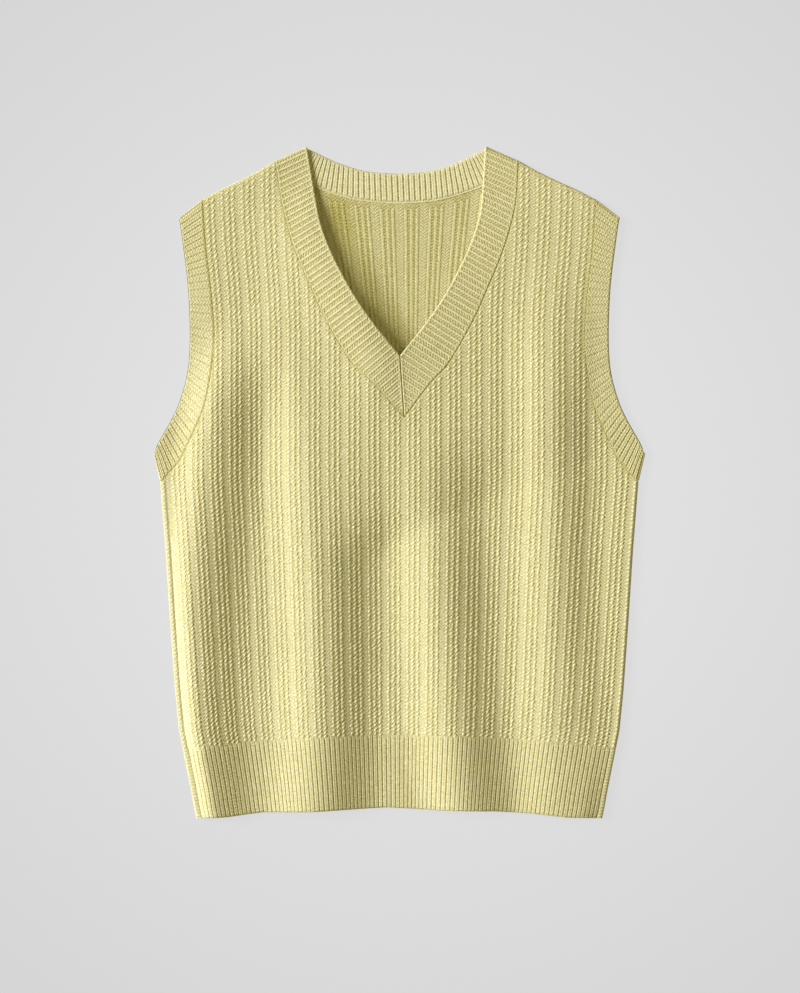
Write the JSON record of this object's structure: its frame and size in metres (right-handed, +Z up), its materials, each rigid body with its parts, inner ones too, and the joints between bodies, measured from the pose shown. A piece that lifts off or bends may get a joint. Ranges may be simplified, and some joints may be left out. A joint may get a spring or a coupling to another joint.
{
  "type": "knitted sweater vest, laid flat",
  "caption": "V-neck knitted sweater vest laid flat, front up, with columned knit, ribbed neckband, ribbed armhole bands and a ribbed hem welt.",
  "frame": {"origin": "middle of the vest's box in plan, on the surface it lies on", "axes": "+X to the right as the front is seen, +Y up the vest from the hem to the neck, +Z up out of the surface"},
  "size_m": [0.4936, 0.6722, 0.0175],
  "materials": {
    "body_knit": "matte wool-blend yarn, columns of raised stitches parted by plain strips",
    "back_knit": "matte wool-blend yarn, the same knit seen from its inside at the neck",
    "rib_knit": "matte wool-blend yarn in fine rib"
  },
  "bodies": {
    "root": {"front_panel": "body_knit", "back_panel": "back_knit", "front_welt": "rib_knit", "back_welt": "rib_knit", "neckband": "rib_knit", "armband_left": "rib_knit", "armband_right": "rib_knit"}
  },
  "joints": []
}
